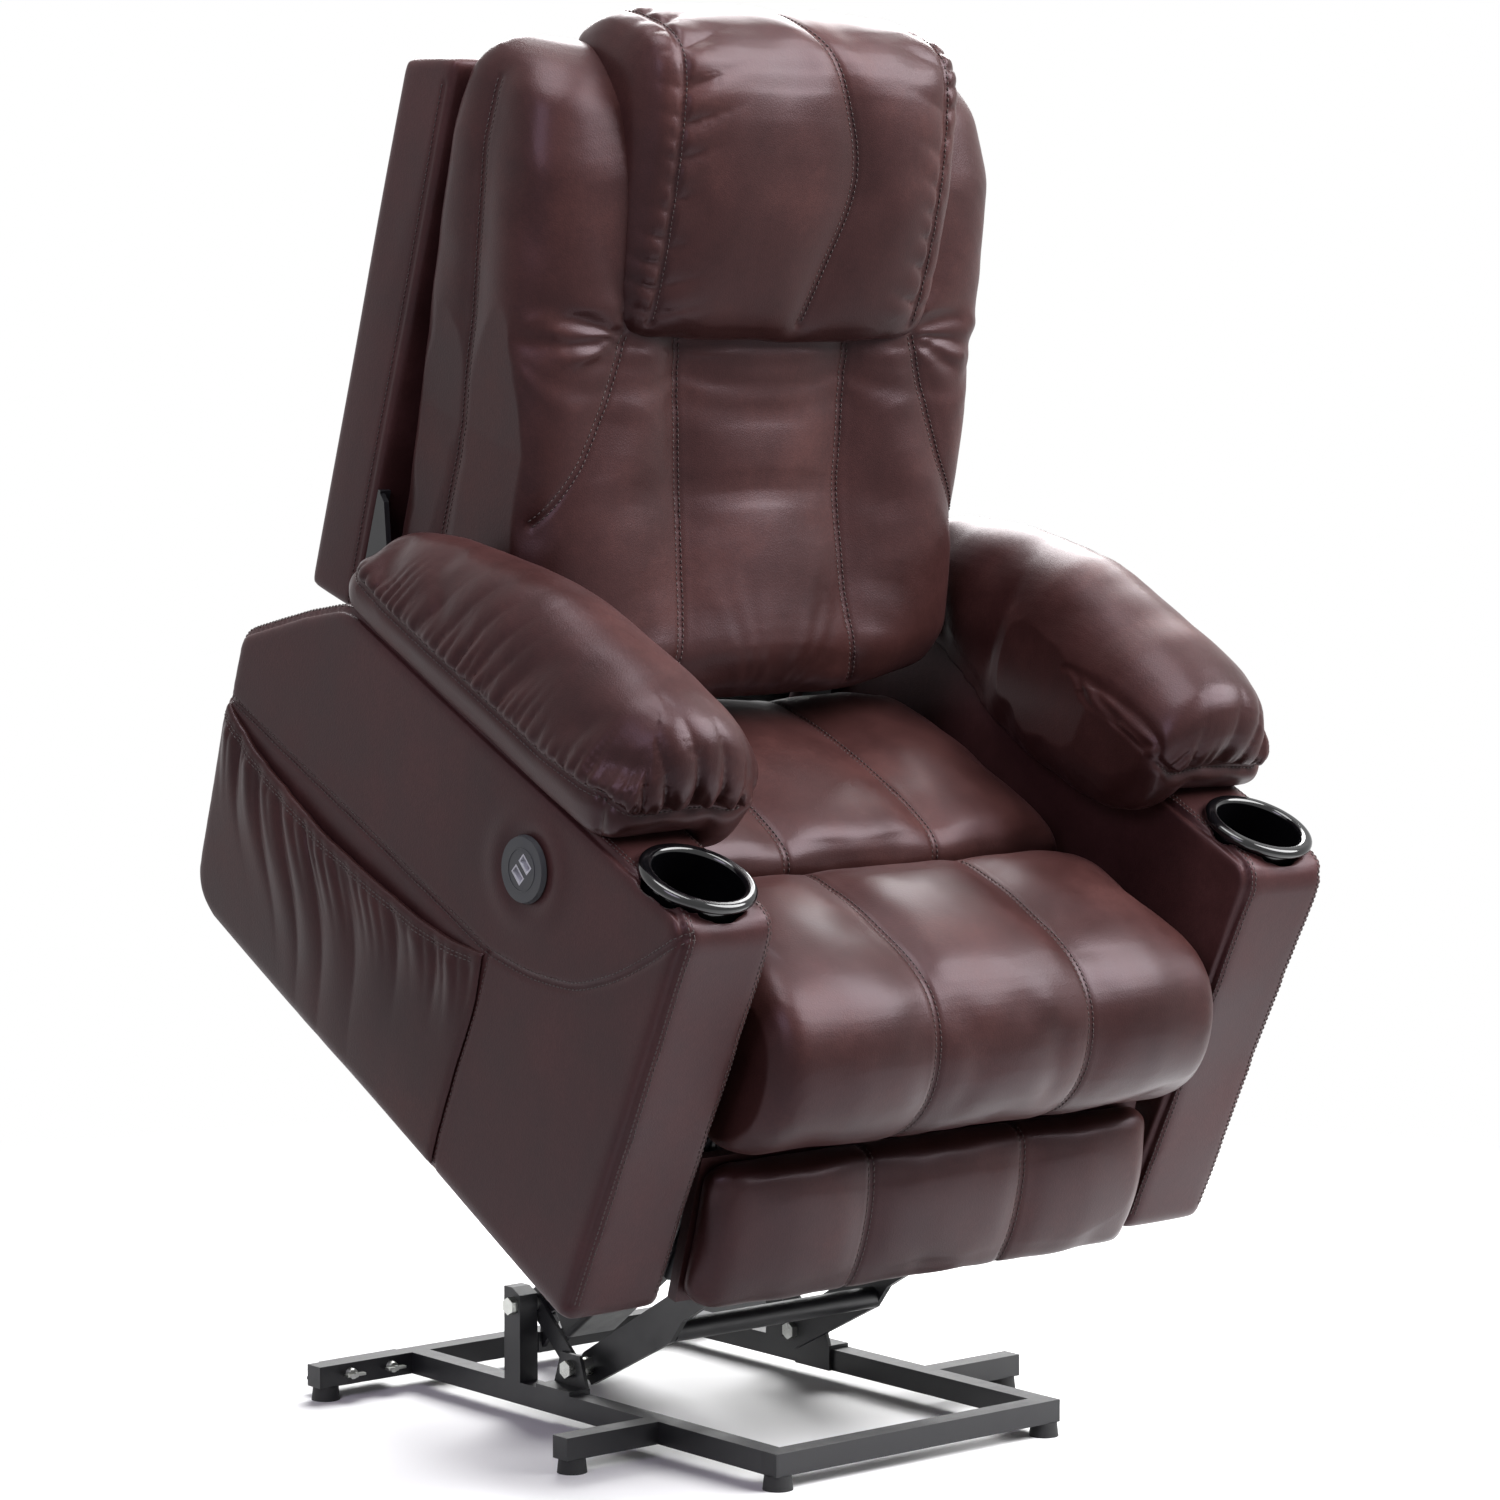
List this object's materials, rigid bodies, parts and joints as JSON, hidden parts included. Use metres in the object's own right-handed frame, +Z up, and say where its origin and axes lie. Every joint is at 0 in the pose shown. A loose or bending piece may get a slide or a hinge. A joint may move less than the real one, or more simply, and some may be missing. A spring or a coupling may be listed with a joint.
{
  "type": "lift recliner chair",
  "caption": "Upholstered lift recliner chair on a steel lift linkage, with reclining back, folding footrest, cup holders, side pockets and a charging plate.",
  "frame": {"origin": "on the floor, below the middle of the chair as it stands raised", "axes": "+X to the sitter's left, -Y to the front, +Z up"},
  "size_m": [0.8574, 0.7849, 1.3927],
  "materials": {
    "powder_coat": "satin",
    "zinc": "bright",
    "rubber": "matt",
    "black_plastic": "fine grain",
    "actuator_tube": "anodised",
    "actuator_rod": "ground",
    "leather": "semi-gloss",
    "upholstery": "semi-gloss",
    "wood": "raw",
    "black_cloth": "woven",
    "cup_gloss": "polished",
    "socket": "satin"
  },
  "bodies": {
    "base": {"base_rails": "powder_coat", "base_front_bar": "powder_coat", "base_rear_bar": "powder_coat", "base_outriggers": "powder_coat", "base_end_caps": "black_plastic", "base_feet": "rubber", "base_posts": "powder_coat", "base_foot_brackets": "powder_coat", "base_braces": "powder_coat", "base_pivot_bolts": "zinc", "supply_bracket": "powder_coat", "wing_bolts": "zinc", "motor_bracket": "powder_coat"},
    "lift_arm": {"lift_arms": "powder_coat", "lift_arm_tube": "powder_coat"},
    "guide_link": {"guide_links": "powder_coat", "guide_tube": "powder_coat"},
    "lift_actuator": {"lift_motor": "black_plastic", "lift_motor_tube": "actuator_tube"},
    "lift_rod": {"lift_motor_rod": "actuator_rod"},
    "chair": {"lift_frame": "powder_coat", "pivot_plates": "powder_coat", "chair_pivot_bolts": "zinc", "arm_cover_right": "leather", "arm_cover_left": "leather", "arm_frame_right": "wood", "arm_frame_left": "wood", "cup_holder_right": "cup_gloss", "cup_holder_left": "cup_gloss", "side_pocket_right": "leather", "side_pocket_left": "leather", "usb_plate": "black_plastic", "usb_sockets": "socket", "seat_side_rails": "wood", "seat_cross_rails": "wood", "seat_springs": "zinc", "control_box": "black_plastic", "power_gland": "black_plastic", "seat_cushion": "upholstery", "front_roll": "upholstery", "rear_cover": "black_cloth", "arm_pad_right": "upholstery", "arm_pad_left": "upholstery", "back_hinge_brackets": "powder_coat", "footrest_brackets": "powder_coat"},
    "recline_actuator": {"recline_motor": "black_plastic", "recline_motor_tube": "actuator_tube"},
    "recline_rod": {"recline_motor_rod": "actuator_rod"},
    "back": {"back_cover": "leather", "back_frame": "wood", "back_springs": "zinc", "back_cushion": "upholstery", "headrest_pillow": "upholstery", "back_hinge_plates": "powder_coat"},
    "rest_drive": {"footrest_drive_links": "powder_coat"},
    "rest_cross": {"footrest_cross_links": "powder_coat"},
    "rest_outer": {"footrest_outer_links": "powder_coat"},
    "rest_carrier": {"footrest_carrier_links": "powder_coat", "footrest_board": "wood", "footrest_pad": "upholstery"}
  },
  "joints": [
    {"name": "lift", "type": "hinge", "parent": "base", "child": "lift_arm", "pos_m": [0, 0.1601, 0.112], "axis": [1, 0, 0], "range_deg": [0, 28.2]},
    {"name": "chair_tilt", "type": "hinge", "parent": "lift_arm", "child": "chair", "pos_m": [0, -0.15798, 0.2576], "axis": [1, 0, 0], "range_deg": [-57.11, 0]},
    {"name": "guide_turn", "type": "hinge", "parent": "base", "child": "guide_link", "pos_m": [0, 0.0961, 0.056], "axis": [1, 0, 0], "range_deg": [0, 26.77]},
    {"name": "lift_motor_turn", "type": "hinge", "parent": "base", "child": "lift_actuator", "pos_m": [0, 0.3141, 0.062], "axis": [1, 0, 0], "range_deg": [0, 19.63]},
    {"name": "lift_stroke", "type": "slide", "parent": "lift_actuator", "child": "lift_rod", "axis": [0, -0.8018, 0.5976], "range_m": [-0.11726, 0]},
    {"name": "back_recline", "type": "hinge", "parent": "chair", "child": "back", "pos_m": [0, 0.22478, 0.70877], "axis": [-1, 0, 0], "range_deg": [0, 45]},
    {"name": "footrest", "type": "hinge", "parent": "chair", "child": "rest_drive", "pos_m": [0, -0.15474, 0.21439], "axis": [1, 0, 0], "range_deg": [0, 67]},
    {"name": "footrest_cross", "type": "hinge", "parent": "rest_drive", "child": "rest_cross", "pos_m": [0, -0.19173, 0.27382], "axis": [1, 0, 0], "range_deg": [-134.01, 0]},
    {"name": "footrest_outer", "type": "hinge", "parent": "rest_cross", "child": "rest_outer", "pos_m": [0, -0.17256, 0.20649], "axis": [1, 0, 0], "range_deg": [0, 134.01]},
    {"name": "footrest_carrier", "type": "hinge", "parent": "rest_outer", "child": "rest_carrier", "pos_m": [0, -0.20955, 0.26592], "axis": [1, 0, 0], "range_deg": [-134.01, 0]},
    {"name": "recline_motor_turn", "type": "hinge", "parent": "chair", "child": "recline_actuator", "pos_m": [-0.095, 0.19281, 0.55976], "axis": [1, 0, 0], "range_deg": [-0.62434, 0]},
    {"name": "recline_stroke", "type": "slide", "parent": "recline_actuator", "child": "recline_rod", "axis": [0, -0.8154, -0.5789], "range_m": [0, 0.11028]}
  ],
  "couplings": [
    {"joint": "chair_tilt", "follows": "lift", "ratio": -2.0247},
    {"joint": "guide_turn", "follows": "lift", "ratio": 0.94901},
    {"joint": "lift_motor_turn", "follows": "lift", "ratio": 0.69557},
    {"joint": "lift_stroke", "follows": "lift", "m_per_rad": -0.2382},
    {"joint": "footrest_cross", "follows": "footrest", "ratio": -2},
    {"joint": "footrest_outer", "follows": "footrest", "ratio": 2},
    {"joint": "footrest_carrier", "follows": "footrest", "ratio": -2},
    {"joint": "recline_motor_turn", "follows": "footrest", "ratio": -0.0091693},
    {"joint": "recline_stroke", "follows": "footrest", "m_per_rad": 0.094298}
  ]
}
